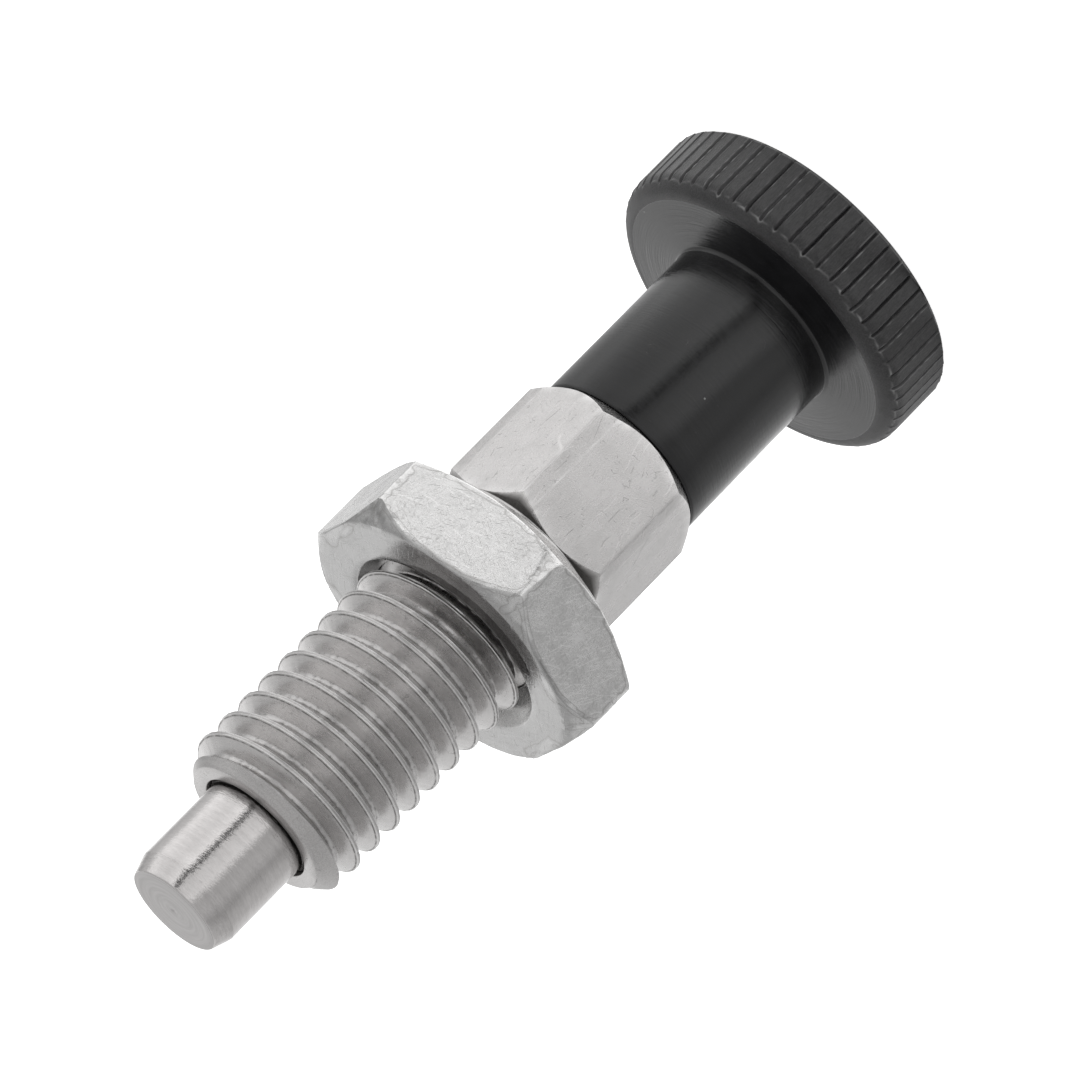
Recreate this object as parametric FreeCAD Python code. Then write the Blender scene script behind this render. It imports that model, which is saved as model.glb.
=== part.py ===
import FreeCAD, Part
import math
import os

# An indexing plunger: a spring-loaded locking pin in a threaded body, drawn back by a knurled knob.
# The axis is Z. The pin points up, and Z = 0 is the seat, where the thread meets the hexagonal collar.

# Threaded body, turned from hexagonal bar
collar_flats = 10.0  # across the flats
collar_length = 7.6
collar_edge = 0.5  # radius of the bar's six long edges
collar_chamfer_circle = 9.9  # circle left flat on each end of the collar
collar_chamfer_angle = 45.0
thread_diameter = 9.97  # over the crests, M10 less its allowance
thread_pitch = 1.5
thread_depth = 0.92
thread_crest = 0.19  # flat left on top of each turn
thread_angle = 60.0  # between the two flanks
thread_turn = -117.6  # degrees round the axis at which a crest passes the seat
thread_length = 20.0  # from the seat to the end face
run_out = 1.0  # unthreaded length above the seat, where a nut jams
thread_end_chamfer = 0.92
rear_wall = 1.6  # behind the spring

# Indexing pin
pin_diameter = 6.0
pin_reach = 6.0  # how far it stands out of the body
stroke = 6.0
tip_taper = 1.05  # length of the lead-in at the tip
tip_diameter = 5.3
tip_edge = 0.08
land_diameter = 6.4  # the guide land that slides in the body
land_length = 10.0
land_below_mouth = 0.12  # how far the land's front ends inside the body
rod_diameter = 3.5
rod_depth = 10.5  # how far the rod reaches into the knob
rod_point = 0.4

# Return spring
spring_wire = 0.6
spring_diameter = 5.2
spring_turns = 10.0
spring_closed_turns = 1.0  # at each end
spring_closed_gap = 0.04  # between the turns of a closed end
spring_steps = 16  # points along each turn

# Pull knob, turned and knurled
sleeve_diameter = 10.0
sleeve_length = 10.9
sleeve_chamfer = 0.3
neck_fillet = 0.2
head_diameter = 18.34
head_thickness = 4.5
head_edge = 1.0
head_chamfer = 0.4
knurl_count = 60
knurl_depth = 0.18
knurl_angle = 70.0  # between the two flanks of a groove

# Lock nut, a thin hexagon nut
nut_flats = 16.0
nut_thickness = 5.0
nut_edge = 0.35  # its six long edges, worn round
nut_front_circle = 16.2  # where the chamfer on its front corners starts
nut_front_angle = 45.0
nut_rear_circle = 14.2
nut_rear_angle = 30.0
nut_countersink = 11.4
nut_lift = 1.05  # from the seat to the nut's lower face
nut_turn = -89.5  # degrees round the axis of one of its corners

# Clearances
guide_clearance = 0.02  # land to bore, on the radius
rod_clearance = 0.06  # rod to the hole in the rear wall, on the radius
bond_film = 0.01  # adhesive round the rod, on the radius
stop_gap = 0.05  # knob to collar
nut_clearance = 0.06  # nut to the thread's crests, on the radius
spring_gap = 0.03  # at each end of the spring
spring_side_gap = 0.15  # spring to its chamber, on the radius
land_overrun = 0.5  # bore left behind the land at full stroke

# Places along the axis
collar_rear = -collar_length
chamber_floor = collar_rear + rear_wall
mouth = thread_length
pin_tip = mouth + pin_reach
land_front = mouth - land_below_mouth
land_rear = land_front - land_length
guide_floor = land_rear - stroke - land_overrun
sleeve_front = collar_rear - stop_gap
head_front = sleeve_front - sleeve_length
head_rear = head_front - head_thickness
rod_end = sleeve_front - rod_depth

# Radii that several pieces share
thread_radius = thread_diameter / 2
root_radius = thread_radius - thread_depth
land_radius = land_diameter / 2
guide_radius = land_radius + guide_clearance
chamber_radius = spring_diameter / 2 + spring_side_gap
rod_radius = rod_diameter / 2
head_radius = head_diameter / 2

past = 1.0  # how far a cutter runs past what it cuts
axis = FreeCAD.Vector(0, 0, 1)
centre = FreeCAD.Vector(0, 0, 0)


def at(r, z):
    """A point of an outline in the plane through the axis."""
    return FreeCAD.Vector(r, 0, z)


def arc(r, z, radius, start, end):
    """A round stretch about (r, z), as a start point and then a (middle, end) pair."""
    points = []
    for angle in (start, (start + end) / 2, end):
        turn = math.radians(angle)
        points.append((r + radius * math.cos(turn), z + radius * math.sin(turn)))
    return [points[0], (points[1], points[2])]


def turned(outline):
    """The solid that a closed outline of (r, z) points sweeps round the axis."""
    edges = []
    here = at(*outline[0])
    for step in outline[1:] + outline[:1]:
        if isinstance(step[0], tuple):
            there = at(*step[1])
            edges.append(Part.Arc(here, at(*step[0]), there).toShape())
        else:
            there = at(*step)
            if here.distanceToPoint(there) > Part.Precision.confusion():
                edges.append(Part.makeLine(here, there))
        here = there
    return Part.Face(Part.Wire(edges)).revolve(centre, axis, 360)


def rod(radius, low, high):
    return Part.makeCylinder(radius, high - low, at(0, low))


def hexagon(flats, low, high, edge, turn):
    """A hexagonal prism with rounded long edges, one of them at the angle turn."""
    corner = flats / 2 / math.cos(math.pi / 6)
    points = []
    for k in range(7):
        angle = math.radians(turn + 60 * k)
        points.append(FreeCAD.Vector(corner * math.cos(angle), corner * math.sin(angle), low))
    prism = Part.Face(Part.makePolygon(points)).extrude(axis * (high - low))
    upright = [e for e in prism.Edges if abs(e.tangentAt(e.FirstParameter).z) > math.cos(math.pi / 4)]
    return prism.makeFillet(edge, upright)


def chamfered_ends(flats, low, high, low_cone, high_cone):
    """The turned blank whose cones, each a (circle, angle), chamfer a hexagon's corners at its ends."""
    reach = flats / math.sqrt(3) + past
    drops = []
    for circle, angle in (low_cone, high_cone):
        drops.append((reach - circle / 2) * math.tan(math.radians(angle)))
    return turned([(0, low), (low_cone[0] / 2, low), (reach, low + drops[0]),
                   (reach, high - drops[1]), (high_cone[0] / 2, high), (0, high)])


def thread_groove():
    """The helical V that the die leaves, from the run-out to past the end face."""
    slope = math.tan(math.radians(thread_angle / 2))
    half_crest = (thread_pitch - thread_crest) / 2
    half_root = half_crest - thread_depth * slope
    outer = thread_radius + thread_crest / 4
    half_outer = half_root + (outer - root_radius) * slope
    low = run_out + half_crest
    turns = math.ceil((mouth + thread_pitch - low) / thread_pitch)
    one_turn = Part.makeHelix(thread_pitch, thread_pitch, thread_radius)
    helix = Part.Wire([one_turn.translated(at(0, k * thread_pitch)).Edges[0] for k in range(turns)])
    profile = Part.makePolygon([at(root_radius, -half_root), at(outer, -half_outer),
                                at(outer, half_outer), at(root_radius, half_root),
                                at(root_radius, -half_root)])
    groove = helix.makePipeShell([profile], True, True)
    # the middle of the groove lies half a pitch above a crest
    groove.rotate(centre, axis, thread_turn + 360 * (low / thread_pitch - 0.5))
    groove.translate(at(0, low))
    return groove


def threaded_body():
    collar = hexagon(collar_flats, collar_rear, 0, collar_edge, 0)
    cone = (collar_chamfer_circle, collar_chamfer_angle)
    collar = collar.common(chamfered_ends(collar_flats, collar_rear, 0, cone, cone))
    shank = turned([(0, -past), (thread_radius, -past), (thread_radius, mouth - thread_end_chamfer),
                    (thread_radius - thread_end_chamfer, mouth), (0, mouth)])
    shank = shank.cut(thread_groove())
    bore = rod(guide_radius, guide_floor, mouth + past)
    chamber = rod(chamber_radius, chamber_floor, guide_floor + past)
    rod_hole = rod(rod_radius + rod_clearance, collar_rear - past, chamber_floor + past)
    return collar.fuse(shank).removeSplitter().cut([bore, chamber, rod_hole])


def indexing_pin():
    pin_radius = pin_diameter / 2
    tip_radius = tip_diameter / 2
    step = land_radius - pin_radius
    return turned([(0, rod_end), (rod_radius - rod_point, rod_end), (rod_radius, rod_end + rod_point),
                   (rod_radius, land_rear), (land_radius, land_rear),
                   (land_radius, land_front - step), (pin_radius, land_front),
                   (pin_radius, pin_tip - tip_taper),
                   *arc(tip_radius - tip_edge, pin_tip - tip_edge, tip_edge, 0, 90),
                   (0, pin_tip)])


def return_spring():
    """A coil with closed, ground ends, between the chamber floor and the back of the land."""
    low = chamber_floor + spring_gap
    high = land_rear - spring_gap
    mean = (spring_diameter - spring_wire) / 2
    closed_pitch = spring_wire + spring_closed_gap
    open_turns = spring_turns - 2 * spring_closed_turns
    open_extra = (high - low - closed_pitch * spring_turns) / open_turns
    points = []
    for k in range(int(spring_turns * spring_steps) + 1):
        turn = k / spring_steps
        angle = 2 * math.pi * turn
        opened = min(max(turn - spring_closed_turns, 0), open_turns)
        height = low + closed_pitch * turn + open_extra * opened
        points.append(FreeCAD.Vector(mean * math.cos(angle), mean * math.sin(angle), height))
    line = Part.BSplineCurve()
    line.interpolate(points)
    path = line.toShape()
    section = Part.makeCircle(spring_wire / 2, points[0], path.tangentAt(path.FirstParameter))
    coil = Part.Wire(path).makePipeShell([Part.Wire(section)], True, True)
    return coil.common(rod(spring_diameter, low, high))


def knurl_grooves():
    """One V groove, repeated round the rim."""
    flank = math.tan(math.radians(knurl_angle / 2))
    bottom = head_radius - knurl_depth
    outer = head_radius + past
    half = (outer - bottom) * flank
    low = head_rear - past
    points = [FreeCAD.Vector(bottom, 0, low), FreeCAD.Vector(outer, -half, low),
              FreeCAD.Vector(outer, half, low), FreeCAD.Vector(bottom, 0, low)]
    groove = Part.Face(Part.makePolygon(points)).extrude(axis * (head_front + past - low))
    grooves = []
    for k in range(knurl_count):
        copy = groove.copy()
        copy.rotate(centre, axis, 360.0 * k / knurl_count)
        grooves.append(copy)
    return grooves


def pull_knob():
    sleeve_radius = sleeve_diameter / 2
    socket_radius = rod_radius + bond_film
    blank = turned([(socket_radius, rod_end), (socket_radius, sleeve_front),
                    (sleeve_radius - sleeve_chamfer, sleeve_front),
                    (sleeve_radius, sleeve_front - sleeve_chamfer),
                    *arc(sleeve_radius + neck_fillet, head_front + neck_fillet, neck_fillet, 180, 270),
                    *arc(head_radius - head_edge, head_front - head_edge, head_edge, 90, 0),
                    (head_radius, head_rear + head_chamfer), (head_radius - head_chamfer, head_rear),
                    (0, head_rear), (0, rod_end)])
    return blank.cut(knurl_grooves())


def lock_nut():
    low = nut_lift
    high = nut_lift + nut_thickness
    bore_radius = thread_radius + nut_clearance
    sink = nut_countersink / 2 - bore_radius
    nut = hexagon(nut_flats, low, high, nut_edge, nut_turn)
    nut = nut.common(chamfered_ends(nut_flats, low, high, (nut_rear_circle, nut_rear_angle),
                                    (nut_front_circle, nut_front_angle)))
    bore = turned([(0, low), (bore_radius + sink, low), (bore_radius, low + sink),
                   (bore_radius, high - sink), (bore_radius + sink, high), (0, high)])
    return nut.cut(bore)


pieces = {
    "threaded_body": threaded_body(),
    "indexing_pin": indexing_pin(),
    "return_spring": return_spring(),
    "pull_knob": pull_knob(),
    "lock_nut": lock_nut(),
}

os.makedirs("parts", exist_ok=True)
for name, piece in pieces.items():
    piece.exportStep("parts/" + name + ".step")
    box = piece.BoundBox
    print(f"{name}: {piece.Volume:.1f} mm3, {len(piece.Solids)} solid, valid {piece.isValid()}, "
          f"z {box.ZMin:.2f} to {box.ZMax:.2f}, across {box.XLength:.2f} x {box.YLength:.2f}")
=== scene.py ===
import math

import bmesh
import bpy
import numpy as np
from mathutils import Matrix, Vector


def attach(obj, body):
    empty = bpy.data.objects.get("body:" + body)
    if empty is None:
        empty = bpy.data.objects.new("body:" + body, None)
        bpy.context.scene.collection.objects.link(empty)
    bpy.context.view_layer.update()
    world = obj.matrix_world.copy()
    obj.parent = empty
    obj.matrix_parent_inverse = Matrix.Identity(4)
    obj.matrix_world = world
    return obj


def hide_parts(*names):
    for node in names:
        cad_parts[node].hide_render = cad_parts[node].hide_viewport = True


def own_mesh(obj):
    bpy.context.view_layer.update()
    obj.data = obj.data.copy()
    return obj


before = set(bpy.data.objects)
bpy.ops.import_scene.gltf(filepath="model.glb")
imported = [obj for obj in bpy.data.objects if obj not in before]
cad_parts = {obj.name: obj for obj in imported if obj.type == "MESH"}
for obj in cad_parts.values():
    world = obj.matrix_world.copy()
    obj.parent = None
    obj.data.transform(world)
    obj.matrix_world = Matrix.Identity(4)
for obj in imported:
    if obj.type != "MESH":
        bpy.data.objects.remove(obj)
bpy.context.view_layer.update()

# An indexing plunger: a sprung pin in a threaded body, with a lock nut and a knurled pull knob.
# Sizes are in millimetres and angles in degrees. The axis is Z, and the pin's tip points up.

millimetre = 0.001
spotSeed = 41
print("frame loaded")


# Shapes

def ripple(points, size, seed, waves=24):
    # Smooth random height of about unit spread: the sum of sine waves in random directions.
    draw = np.random.default_rng(seed)
    direction = draw.normal(size=(3, waves))
    direction *= 2 * math.pi / size / np.linalg.norm(direction, axis=0)
    phase = draw.uniform(0, 2 * math.pi, waves)
    return np.sin(points @ direction + phase).sum(axis=-1) / math.sqrt(waves / 2)


def around(radius, azimuth, height):
    # Points at a distance from the axis, an angle in radians round it and a height.
    radius, azimuth, height = np.broadcast_arrays(radius, azimuth, height)
    return np.stack([radius * np.cos(azimuth), radius * np.sin(azimuth), height], axis=-1)


def bell(value, width):
    return np.exp(-(value / width) ** 2)


def smoothStep(value):
    share = np.clip(value, 0, 1)
    return share * share * (3 - 2 * share)


def turnFrom(azimuth, degrees):
    # The angle in radians from a direction in degrees, at most half a turn either way.
    return (azimuth - math.radians(degrees) + math.pi) % (2 * math.pi) - math.pi


def softMin(a, b, soft):
    # The smaller of two surfaces, with the crease between them rounded over a distance.
    share = np.clip(0.5 + 0.5 * (b - a) / soft, 0, 1)
    return a * share + b * (1 - share) - soft * share * (1 - share)


def roundCorner(toPrevious, toNext, steps):
    # The unit arc that rounds a corner at the origin, from the previous side to the next. Either side
    # may be an array of directions, and the arc's steps are then the first axis.
    before = np.asarray(toPrevious, float) / np.linalg.norm(toPrevious, axis=-1, keepdims=True)
    after = np.asarray(toNext, float) / np.linalg.norm(toNext, axis=-1, keepdims=True)
    half = np.arccos(np.clip((before * after).sum(axis=-1, keepdims=True), -1, 1)) / 2
    middle = before + after
    centre = middle / np.linalg.norm(middle, axis=-1, keepdims=True) / np.sin(half)
    start, end = before / np.tan(half) - centre, after / np.tan(half) - centre
    share = np.linspace(0, 1, steps).reshape((-1,) + (1,) * start.ndim)
    sweep = math.pi - 2 * half
    return centre + (np.sin((1 - share) * sweep) * start + np.sin(share * sweep) * end) / np.sin(sweep)


def roundedPath(corners, spacing, steps=5):
    # A path of (r, z) points through (r, z, rounding) corners, with its straights divided evenly.
    path = [np.array([corners[0][:2]], float)]
    for k in range(1, len(corners)):
        here = np.array(corners[k][:2], float)
        rounding = corners[k][2]
        if rounding:
            back = np.array(corners[k - 1][:2]) - here
            onward = np.array(corners[k + 1][:2]) - here
            arc = here + rounding * roundCorner(back, onward, steps)
        else:
            arc = here[None]
        run = np.linalg.norm(arc[0] - path[-1][-1])
        share = np.linspace(0, 1, max(1, math.ceil(run / spacing)) + 1)[1:-1, None]
        path += [path[-1][-1] * (1 - share) + arc[0] * share, arc]
    return np.concatenate(path)


def ringFaces(rows, columns):
    # Quads between neighbouring rows of a grid whose columns go all the way round.
    row = np.arange(rows - 1)[:, None]
    here = np.arange(columns)[None, :]
    there = (here + 1) % columns
    low, high = row * columns, (row + 1) * columns
    return np.stack([low + here, low + there, high + there, high + here], axis=-1).reshape(-1, 4)


def poledFaces(rows, columns):
    # The same with both ends closed on a pole; the two pole points come after the grid.
    here = np.arange(columns)
    there = (here + 1) % columns
    last = (rows - 1) * columns
    foot = np.stack([np.full(columns, rows * columns), there, here], axis=-1)
    top = np.stack([np.full(columns, rows * columns + 1), last + here, last + there], axis=-1)
    return ringFaces(rows, columns).tolist() + foot.tolist() + top.tolist()


def withPoles(grid):
    return np.concatenate([grid.reshape(-1, 3), grid[:1].mean(axis=1), grid[-1:].mean(axis=1)])


def stacked(rows, columns):
    # Rows of radii and heights, each spread over all the columns, as two grids.
    pairs = [np.broadcast_arrays(radii + 0 * columns, heights + 0 * columns) for radii, heights in rows]
    return [np.concatenate(part) for part in zip(*pairs)]


def makeMesh(name, points, faces, marks=None):
    # A mesh in metres, with marks for each point as attributes: worn edges with painted highlight, painted
    # shade and the like.
    mesh = bpy.data.meshes.new(name)
    mesh.from_pydata((points * millimetre).tolist(), [], faces if isinstance(faces, list) else faces.tolist())
    for key, value in (marks or {}).items():
        layer = mesh.attributes.new(key, "FLOAT", "POINT")
        layer.data.foreach_set("value", np.asarray(value, np.float32).ravel())
    return mesh


def makePiece(mesh, crease=38.0):
    mesh.shade_smooth()
    mesh.set_sharp_from_angle(angle=math.radians(crease))
    piece = bpy.data.objects.new(mesh.name, mesh)
    bpy.context.scene.collection.objects.link(piece)
    return piece


def finishPiece(piece, node, body, material):
    piece.data.materials.append(material)
    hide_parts(node)
    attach(piece, body)
    print(piece.name, len(piece.data.polygons), "faces")


# Materials

def addNode(tree, kind, inputs=None, **settings):
    # A node with its settings, and with each input given a value or another node's output.
    made = tree.nodes.new("ShaderNode" + kind)
    for key, value in settings.items():
        setattr(made, key, value)
    for socket, value in (inputs or {}).items():
        if isinstance(value, bpy.types.NodeSocket):
            tree.links.new(value, made.inputs[socket])
        else:
            made.inputs[socket].default_value = value
    return made


def calculate(tree, operation, a, b=0.0, clamp=False):
    return addNode(tree, "Math", {0: a, 1: b}, operation=operation, use_clamp=clamp).outputs[0]


def plus(tree, a, b, clamp=False):
    return calculate(tree, "ADD", a, b, clamp)


def minus(tree, a, b, clamp=False):
    return calculate(tree, "SUBTRACT", a, b, clamp)


def difference(tree, a, b):
    return calculate(tree, "ABSOLUTE", minus(tree, a, b))


def isAbove(tree, value, limit):
    return calculate(tree, "GREATER_THAN", value, limit)


def isBelow(tree, value, limit):
    return calculate(tree, "LESS_THAN", value, limit)


def largest(tree, *values):
    total = values[0]
    for value in values[1:]:
        total = calculate(tree, "MAXIMUM", total, value)
    return total


def scaled(tree, vector, factors):
    return addNode(tree, "VectorMath", {0: vector, 1: factors}, operation="MULTIPLY").outputs[0]


def noise(tree, vector, scale, detail=3.0, roughness=0.55, w=None):
    inputs = {"Vector": vector, "Scale": scale, "Detail": detail, "Roughness": roughness}
    if w is not None:
        inputs["W"] = w
    kind = "3D" if w is None else "4D"
    return addNode(tree, "TexNoise", inputs, noise_dimensions=kind).outputs["Fac"]


def between(tree, value, lowIn, highIn, lowOut, highOut):
    return addNode(tree, "MapRange", {"Value": value, "From Min": lowIn, "From Max": highIn,
                                      "To Min": lowOut, "To Max": highOut}).outputs["Result"]


def mixColour(tree, share, a, b, blend="MIX"):
    # In a Mix node, sockets 0, 2 and 3 are for numbers and 6 and 7 for colours.
    return addNode(tree, "Mix", {0: share, 6: a, 7: b}, data_type="RGBA", blend_type=blend).outputs[2]


def mixValue(tree, share, a, b):
    return addNode(tree, "Mix", {0: share, 2: a, 3: b}, data_type="FLOAT").outputs[0]


def dimmed(tree, colour, level):
    shade = addNode(tree, "CombineXYZ", {"X": level, "Y": level, "Z": level}).outputs[0]
    return mixColour(tree, 1.0, colour, shade, "MULTIPLY")


def product(tree, *values):
    total = values[0]
    for value in values[1:]:
        total = calculate(tree, "MULTIPLY", total, value)
    return total


def weighted(tree, *pairs):
    # A half, plus each value's distance from a half times its weight.
    total = 0.5
    for value, weight in pairs:
        part = product(tree, minus(tree, value, 0.5), weight)
        total = plus(tree, part, total)
    return total


def bump(tree, height, strength, distance):
    inputs = {"Height": height, "Strength": strength, "Distance": distance * millimetre}
    return addNode(tree, "Bump", inputs).outputs["Normal"]


def turnedPlace(tree):
    # Places in millimetres, with the direction round the axis, the height and the distance apart,
    # so that a noise in them runs round a turned surface without a seam.
    place = scaled(tree, addNode(tree, "TexCoord").outputs["Object"], (1 / millimetre,) * 3)
    flat = scaled(tree, place, (1.0, 1.0, 0.0))
    radius = addNode(tree, "VectorMath", {0: flat}, operation="LENGTH").outputs["Value"]
    direction = addNode(tree, "VectorMath", {0: flat}, operation="NORMALIZE").outputs[0]
    height = addNode(tree, "SeparateXYZ", {0: place}).outputs["Z"]
    return place, radius, direction, height


def turnedMarks(tree, radius, direction, height, lines, length, detail=4.0):
    # Fine marks left by turning: many lines a millimetre across them, slow changes along them.
    parts = addNode(tree, "SeparateXYZ", {0: direction})
    vector = addNode(tree, "CombineXYZ", {
        "X": product(tree, parts.outputs["X"], length),
        "Y": product(tree, parts.outputs["Y"], length),
        "Z": product(tree, height, lines)}).outputs[0]
    return noise(tree, vector, 1.0, detail, 0.6, w=product(tree, radius, lines))


def newMaterial(name, metallic):
    material = bpy.data.materials.new(name)
    material.use_nodes = True
    tree = material.node_tree
    shader = tree.nodes["Principled BSDF"]
    shader.inputs["Metallic"].default_value = metallic
    return material, tree, shader


def connect(tree, shader, **inputs):
    names = {"colour": "Base Color", "roughness": "Roughness", "normal": "Normal"}
    for key, socket in inputs.items():
        tree.links.new(socket, shader.inputs[names[key]])


def specks(tree, place, scale, size, kept):
    # One small round spot in some cells of a random division of space.
    cells = addNode(tree, "TexVoronoi", {"Vector": place, "Scale": scale, "Randomness": 0.7})
    near = between(tree, cells.outputs["Distance"], size, size * 0.5, 0.0, 1.0)
    chosen = addNode(tree, "SeparateXYZ", {0: cells.outputs["Color"]}).outputs["X"]
    return product(tree, near, isAbove(tree, chosen, 1.0 - kept))


def hairs(tree, place, scale, width, kept):
    # Hair-thin scratches: where one noise passes its middle value, kept only where another is high.
    wander = noise(tree, place, scale, 1.5, 0.5)
    away = difference(tree, wander, 0.5)
    line = between(tree, away, 0.0, width, 1.0, 0.0)
    gate = noise(tree, scaled(tree, place, (1.31, 1.17, 0.93)), scale * 1.4, 2.0)
    return product(tree, line, between(tree, gate, 1.0 - kept, 1.05 - kept, 0.0, 1.0))


def scratches(tree, place, direction, apart, width, kept, breaks=0.6):
    # Straight fine scratches across one direction: one in each slice of space, set aside and broken
    # at random.
    across = addNode(tree, "VectorMath", {0: place, 1: direction}, operation="DOT_PRODUCT").outputs["Value"]
    bend = product(tree, noise(tree, place, 0.3, 1.0), 2.5)
    across = plus(tree, calculate(tree, "DIVIDE", across, apart), bend)
    layer = calculate(tree, "FLOOR", across)
    pick = addNode(tree, "TexWhiteNoise", {"W": layer}, noise_dimensions="1D").outputs["Value"]
    middle = between(tree, pick, 0.0, 1.0, 0.12, 0.88)
    away = difference(tree, calculate(tree, "FRACT", across), middle)
    line = between(tree, away, 0.0, width / apart, 1.0, 0.0)
    gate = noise(tree, place, breaks, 1.0, 0.5, w=product(tree, layer, 3.7))
    return product(tree, line, between(tree, gate, 1.0 - kept, 1.03 - kept, 0.0, 1.0))


def ridgeLine(tree, value, middle, width):
    # One where a value passes its middle, falling off on both sides.
    away = difference(tree, value, middle)
    return between(tree, away, 0.0, width, 1.0, 0.0)


def attributes(tree, *names):
    return [addNode(tree, "Attribute", attribute_name=name).outputs["Fac"] for name in names]


# Satin turned steel. The worn colour also paints the crest highlights, and the last colour paints shade.
# Marks, drawn lines, grain and cloud are in cycles a millimetre.
bodyFinish = {"light": (0.75, 0.735, 0.73, 1), "dark": (0.5, 0.49, 0.485, 1), "worn": (0.99, 0.985, 0.98, 1),
              "paintedShadeColour": (0.05, 0.046, 0.042, 1), "smooth": 0.17, "rough": 0.34, "marks": 6.0,
              "drawn": (8.0, 8.0, 0.22), "grain": 16.0, "cloud": 0.9, "crestLine": 0.032, "beside": 0.055,
              "mouth": 19.2, "bump": 0.012}


def bodySteel():
    # Marks round the shank and the faces, drawn lines along the collar's flats, hair scratches, a painted
    # highlight along the crest edges with painted shade lines next to them, painted shade in the roots, on
    # the collar's front and round the mouth, and a duller end face and cone, darkened by the same painted
    # shade.
    material, tree, shader = newMaterial("turned_steel", 1.0)
    place, radius, direction, height = turnedPlace(tree)
    marks = turnedMarks(tree, radius, direction, height, bodyFinish["marks"], 1.6)
    drawn = noise(tree, scaled(tree, place, bodyFinish["drawn"]), 1.0, 5.0, 0.7)
    onCollar = isBelow(tree, height, -0.01)
    onFlat = product(tree, onCollar, isAbove(tree, radius, body["circle"] / 2 + 0.01))
    lines = mixValue(tree, onFlat, weighted(tree, (marks, 0.7)), weighted(tree, (drawn, 0.35)))
    grain = noise(tree, place, bodyFinish["grain"], 3.0, 0.65)
    cloud = noise(tree, place, bodyFinish["cloud"], 3.0)
    scratch = largest(tree, hairs(tree, place, 1.6, 0.012, 0.44),
                      product(tree, onFlat, scratches(tree, place, (0.8, 0.6, 0.05), 0.7, 0.02, 0.42)))
    bright = product(tree, onFlat, scratches(tree, place, (0.76, -0.64, 0.03), 0.5, 0.025, 0.44))
    wearAndHighlight, paintedShade, away, upper, shadow = attributes(tree, "wearAndHighlight", "paintedShade", "away", "upper", "shaded")
    uneven = between(tree, noise(tree, place, 2.4, 2.0), 0.32, 0.55, 0.35, 1.0)
    # painted highlight along the crest edges, stronger on the lower edge, and a painted shade line next to it
    edge = thread["crestFlat"] / 2
    crest = product(tree, ridgeLine(tree, away, edge, bodyFinish["crestLine"]), uneven,
                    between(tree, upper, 0.0, 1.0, 1.2, 0.55))
    beside = product(tree, ridgeLine(tree, away, edge + bodyFinish["beside"], bodyFinish["crestLine"]),
                     between(tree, noise(tree, place, 3.3, 2.0, w=height), 0.36, 0.54, 0.25, 0.85))
    wearAndHighlight = largest(tree, wearAndHighlight, crest)
    tone = weighted(tree, (lines, 1.2), (grain, mixValue(tree, onCollar, 0.6, 1.5)),
                    (cloud, mixValue(tree, onCollar, 0.15, 0.8)), (plus(tree, bright, 0.5), 0.5))
    tone = minus(tree, tone, product(tree, onCollar, 0.08))
    tone = minus(tree, tone, product(tree, scratch, 0.6), clamp=True)
    tone = largest(tree, tone, wearAndHighlight)
    colour = mixColour(tree, tone, bodyFinish["dark"], bodyFinish["light"])
    # painted shade: in the roots, the crest middles, the bore top and next to the collar corners, on the
    # collar's front, and over the mouth, its cone and the end face
    torn = product(tree, paintedShade, between(tree, grain, 0.38, 0.56, 0.15, 1.0), 1.1)
    shaded = product(tree, shadow, between(tree, grain, 0.3, 0.7, 0.75, 0.9))
    mouth = product(tree, isAbove(tree, height, bodyFinish["mouth"]),
                    between(tree, grain, 0.32, 0.6, 0.34, 0.12))
    paintedShadeShare = calculate(tree, "MINIMUM", largest(tree, torn, beside, shaded, mouth), 1.0)
    # the crest lines are a painted highlight; the collar's lighter edges are worn and painted highlight
    line = largest(tree, crest, product(tree, onCollar, wearAndHighlight, 0.35))
    colour = mixColour(tree, calculate(tree, "MINIMUM", line, 0.95), colour, bodyFinish["worn"])
    colour = mixColour(tree, paintedShadeShare, colour, bodyFinish["paintedShadeColour"])
    roughness = between(tree, weighted(tree, (lines, 1.0), (cloud, 1.0)), 0.2, 0.8,
                        bodyFinish["smooth"], bodyFinish["rough"])
    heights = weighted(tree, (lines, 1.0), (grain, mixValue(tree, onCollar, 0.4, 1.0)))
    heights = minus(tree, heights, product(tree, scratch, 1.2))
    connect(tree, shader, colour=colour, roughness=plus(tree, roughness, product(tree, paintedShadeShare, 0.3)),
            normal=bump(tree, heights, 0.6, bodyFinish["bump"]))
    return material


# Ground and polished steel, with a duller face; the guide inside the mouth and a band just above it are
# painted dark, a painted shade and reflection of the gap
pinFinish = {"light": (0.71, 0.688, 0.682, 1), "dark": (0.57, 0.552, 0.546, 1),
             "inside": (0.13, 0.125, 0.122, 1), "face": 0.52, "smooth": 0.045, "rough": 0.115,
             "faceRough": 0.3, "ground": (12.0, 9.0), "streaks": (4.0, 1.2), "rings": (5.0, 0.6),
             "bump": 0.018}


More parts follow.
